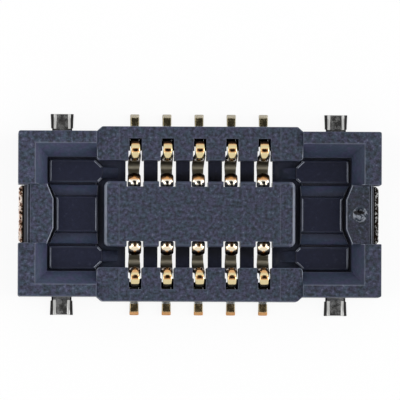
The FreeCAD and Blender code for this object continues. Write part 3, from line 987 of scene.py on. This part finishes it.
def contact_strip(sizes):
    """One contact of the +Y row at x = 0, bent from a crowned strip."""
    strip = Strip(TAIL_END, TAIL_RUNS[0][1], sizes.corner / MM, sizes.crown / MM)
    for y, width in TAIL_RUNS:
        strip.run(y, TAIL_END[1], width)
    strip.turn(*TAIL_BEND)
    for z, width in RISER_RUNS:
        strip.run(ARCH_OUTER[0], z, width)
    for bend in STRIP_BENDS:
        strip.turn(*bend)
    strip.run(*TIP_END, TIP_WIDTH)
    bm = strip.bm
    bmesh.ops.recalc_face_normals(bm, faces=bm.faces)
    for vert in bm.verts:
        across = abs(vert.co.x)
        if vert.co.z > HOOK_FROM and HOOK_SPAN[0] < vert.co.y < HOOK_SPAN[1]:
            inward = share_of((HOOK_FLAT_END - vert.co.y) / 0.17)
            depth = (sizes.shoulder / MM) * (0.12 + 0.88 * inward) * (across / 0.060) ** 4
            pull_in(bm, vert, HOOK_CENTRE, HOOK_RADIUS, depth)
        elif vert.co.z > TIP_FROM:
            share = across / (TIP_WIDTH / 2)
            depth = (sizes.tip_crown / MM) * (0.45 * share ** 2 + 0.55 * share ** 4)
            pull_in(bm, vert, TIP_CENTRE, TIP_RADIUS, depth)
    return bm


def pull_in(bm, vert, centre, radius, depth):
    """Move a vertex of the bend's outer skin towards the bend's centre."""
    away = vert.co - Vector((0, *centre))
    away.x = 0
    if radius < away.length < radius + STRIP_THICKNESS:
        bmesh.ops.translate(bm, vec=-away.normalized() * depth, verts=[vert])


class CONNECTOR_OT_housing(bpy.types.Operator):
    """Soften the housing's edges and give it its filled resin"""
    bl_idname = "connector.housing"
    bl_label = "Housing"

    def execute(self, context):
        sizes = context.scene.connector_housing
        bm = merged_copy("housing")
        for vert in bm.verts:
            x, y = abs(vert.co.x), abs(vert.co.y)
            at_side = min(abs(y - side) for side in RAMP_SIDES) < SAME_PLACE
            if abs(x - RAMP_FOOT) < SAME_PLACE and at_side and vert.co.z < 0.13:
                vert.co.x = math.copysign(EASED_FOOT, vert.co.x)
        sharp = sharp_edges(bm, angle=32)
        sharp = [edge for edge in sharp if max(v.co.z for v in edge.verts) > 0.12]
        round_edges(bm, sharp, sizes.edge_radius / MM)
        mark_edge_highlights(bm, widest=0.03)
        mark_bay_rim_highlights(bm, width=0.010)
        piece = finish_piece(
            "moulded_housing", bm, resin_material(bpy.data.node_groups["fine grain"], sizes),
            "housing")
        keep_faces_flat(piece)
        return {"FINISHED"}


class CONNECTOR_OT_contacts(bpy.types.Operator):
    """Bend the ten contacts from crowned strip and plate them"""
    bl_idname = "connector.contacts"
    bl_label = "Contacts"

    def execute(self, context):
        sizes = context.scene.connector_contacts
        groups = bpy.data.node_groups
        material = gold_material(groups["fine grain"], groups["rolling lines"], sizes)
        blank = contact_strip(sizes)
        for row, side in ROWS.items():
            for index, stray in enumerate(STRAYS[row]):
                bm = blank.copy()
                for vert in bm.verts:
                    vert.co.x += stray * share_of((ARM_END - vert.co.y) / 0.15)
                x = (index - (len(STRAYS[row]) - 1) / 2) * PITCH
                if side < 0:
                    bmesh.ops.scale(bm, vec=Vector((1, -1, 1)), verts=bm.verts)
                    bmesh.ops.reverse_faces(bm, faces=bm.faces)
                bmesh.ops.translate(bm, vec=Vector((x, 0, 0)), verts=bm.verts)
                name = row + str(index + 1)
                piece = finish_piece("strip_" + name, bm, material, "contact_" + name)
                smooth = piece.modifiers.new("smooth strip", "SUBSURF")
                smooth.levels = 2
                smooth.render_levels = 2
        blank.free()
        return {"FINISHED"}


class CONNECTOR_OT_hold_downs(bpy.types.Operator):
    """Round the pressed edges of the two hold-downs and plate them"""
    bl_idname = "connector.hold_downs"
    bl_label = "Hold-downs"

    def execute(self, context):
        sizes = context.scene.connector_hold_downs
        groups = bpy.data.node_groups
        material = plating_material(groups["fine grain"], groups["rolling lines"], sizes)
        for side in ("left", "right"):
            bm = merged_copy("hold_down_" + side)
            sheared = [
                edge for edge in bm.edges
                if min(abs(v.co.x) for v in edge.verts) > TONGUE_END
                and min(v.co.z for v in edge.verts) > TONGUE_TOP
            ]
            round_edges(bm, sheared, sizes.torn_radius / MM, segments=4)
            round_edges(bm, sharp_edges(bm, angle=25), sizes.edge_radius / MM)
            support_flats(bm, smallest=0.01, width=0.004)
            for vert in bm.verts:
                vert.co.z = max(vert.co.z, 0)
            piece = finish_piece("pressing_" + side, bm, material, "hold_down_" + side)
            keep_faces_flat(piece)
        return {"FINISHED"}


class CONNECTOR_OT_stage(bpy.types.Operator):
    """Set up the pale floor, the soft light and the camera"""
    bl_idname = "connector.stage"
    bl_label = "Stage"

    def execute(self, context):
        scene = context.scene
        sizes = scene.connector_stage
        lay_floor(sizes)
        light_studio(scene, sizes)
        aim_camera(scene, sizes)
        scene.view_settings.view_transform = "Standard"
        return {"FINISHED"}


def lay_floor(sizes):
    """Pale floor just below the connector, which glows a little where it is seen."""
    bm = bmesh.new()
    bmesh.ops.create_grid(bm, x_segments=1, y_segments=1, size=sizes.floor_size / 2)
    bmesh.ops.translate(bm, vec=Vector((0, 0, -0.001 * MM)), verts=bm.verts)
    material, tree, shader = new_material(
        "pale floor", Base_Color=(0.86, 0.86, 0.86, 1.0), Roughness=0.9, Specular_IOR_Level=0.0)
    floor = mesh_object("floor", bm, material)
    path = node(tree, "ShaderNodeLightPath")
    seen = larger(tree, path.outputs["Is Camera Ray"], path.outputs["Is Glossy Ray"])
    seen = larger(tree, seen, path.outputs["Is Transmission Ray"])
    glow = node(tree, "ShaderNodeEmission")
    share = product(tree, seen, 0.90)
    both = node(tree, "ShaderNodeMixShader")
    tree.links.new(share, both.inputs[0])
    tree.links.new(shader.outputs["BSDF"], both.inputs[1])
    tree.links.new(glow.outputs["Emission"], both.inputs[2])
    tree.links.new(both.outputs["Shader"], tree.nodes["Material Output"].inputs["Surface"])


def light_studio(scene, sizes):
    """A soft ring of light round a dark zenith, over a paler horizon, and a lamp at each end."""
    world = bpy.data.worlds.new("studio")
    scene.world = world
    world.use_nodes = True
    tree = world.node_tree
    back = tree.nodes["Background"]
    place = node(tree, "ShaderNodeTexCoord").outputs["Generated"]
    axes = split_axes(tree, place)
    towards = node(tree, "ShaderNodeVectorMath", operation="DOT_PRODUCT")
    tree.links.new(place, towards.inputs[0])
    towards.inputs[1].default_value = Vector(DARK_SPOT).normalized()
    rise = towards.outputs["Value"]
    level = scale_shift(tree, ramp(tree, rise, 0.78, 0.84), 0.15, 0.92)
    along = product(tree, absolute(tree, axes["X"]), 0.62)
    across = absolute(tree, axes["Y"])
    sector = ramp(tree, math_node(tree, "SUBTRACT", along, across), -0.02, 0.06)
    above = product(tree, sector, ramp(tree, axes["Z"], 0.15, 0.30))
    high = product(tree, above, scale_shift(tree, axes["X"], 0.35, 1.0))
    level = math_node(tree, "ADD", high, level)
    dark = ramp(tree, rise, 0.940, 0.958)
    level = scale_shift(tree, dark, 0.05, product(tree, level, inverse(tree, dark)))
    level = product(tree, level, sizes.light)
    seen = node(tree, "ShaderNodeLightPath").outputs["Is Camera Ray"]
    unseen = product(tree, level, inverse(tree, seen))
    tree.links.new(math_node(tree, "ADD", unseen, seen), back.inputs["Strength"])
    back.inputs["Color"].default_value = (1.0, 1.0, 1.0, 1.0)
    # Tilt from upright in degrees, distance and width in millimetres, and strength
    for name, tilt, distance, span, strength in (
        ("left lamp", -38, 30, 9, 1.2),
        ("right lamp", 58, 60, 14, 7.0),
    ):
        lamp = bpy.data.lights.new(name, "AREA")
        lamp.shape = "RECTANGLE"
        lamp.size = span * MM
        lamp.size_y = 30 * MM
        lamp.energy = strength * math.pi * lamp.size * lamp.size_y * sizes.light
        holder = bpy.data.objects.new(name, lamp)
        angle = math.radians(tilt)
        spot = Vector((math.sin(angle), 0, math.cos(angle))) * distance * MM
        turn = spot.to_track_quat("Z", "Y").to_matrix().to_4x4()
        holder.matrix_world = Matrix.Translation(spot) @ turn
        holder.visible_camera = False
        scene.collection.objects.link(holder)


def aim_camera(scene, sizes):
    """Camera nearly overhead, a little towards -X and -Y, as the photograph was taken."""
    way = Vector((
        math.sin(AZIMUTH) * math.cos(ELEVATION),
        -math.cos(AZIMUTH) * math.cos(ELEVATION),
        math.sin(ELEVATION),
    ))
    right = Vector((math.cos(ROLL), math.sin(ROLL), 0))
    right = (right - way * right.dot(way)).normalized()
    up = way.cross(right)
    turn = Matrix((right, up, way)).transposed().to_4x4()
    lens = bpy.data.cameras.new("camera")
    lens.sensor_width = 36
    lens.lens = lens.sensor_width * sizes.camera_distance / sizes.view_width
    lens.clip_start = 5 * MM
    camera = bpy.data.objects.new("camera", lens)
    place = Vector(TARGET) * MM + way * sizes.camera_distance
    camera.matrix_world = Matrix.Translation(place) @ turn
    scene.collection.objects.link(camera)
    scene.camera = camera


class CONNECTOR_PT_parts(bpy.types.Panel):
    """Sidebar panel that lists the connector's pieces"""
    bl_idname = "CONNECTOR_PT_parts"
    bl_label = "Connector"
    bl_space_type = "VIEW_3D"
    bl_region_type = "UI"
    bl_category = "Connector"

    def draw(self, context):
        scene = context.scene
        for title, group, operator in (
            ("Housing", scene.connector_housing, "connector.housing"),
            ("Contacts", scene.connector_contacts, "connector.contacts"),
            ("Hold-downs", scene.connector_hold_downs, "connector.hold_downs"),
            ("Stage", scene.connector_stage, "connector.stage"),
        ):
            box = self.layout.box()
            box.label(text=title)
            for name in group.__annotations__:
                box.prop(group, name)
            box.operator(operator)


SETTINGS = {
    "connector_housing": HousingSettings,
    "connector_contacts": ContactSettings,
    "connector_hold_downs": HoldDownSettings,
    "connector_stage": StageSettings,
}

CLASSES = (
    *SETTINGS.values(),
    CONNECTOR_OT_housing,
    CONNECTOR_OT_contacts,
    CONNECTOR_OT_hold_downs,
    CONNECTOR_OT_stage,
    CONNECTOR_PT_parts,
)


def register():
    """Add the settings, the operators and the panel."""
    for made in CLASSES:
        bpy.utils.register_class(made)
    for name, group in SETTINGS.items():
        setattr(bpy.types.Scene, name, bpy.props.PointerProperty(type=group))


def unregister():
    """Take them out again."""
    for name in SETTINGS:
        delattr(bpy.types.Scene, name)
    for made in reversed(CLASSES):
        bpy.utils.unregister_class(made)


def main():
    """Dress the connector on its stage."""
    register()
    grain_group()
    lines_group()
    bpy.ops.connector.stage()
    bpy.ops.connector.housing()
    bpy.ops.connector.contacts()
    bpy.ops.connector.hold_downs()


if __name__ == "__main__":
    main()
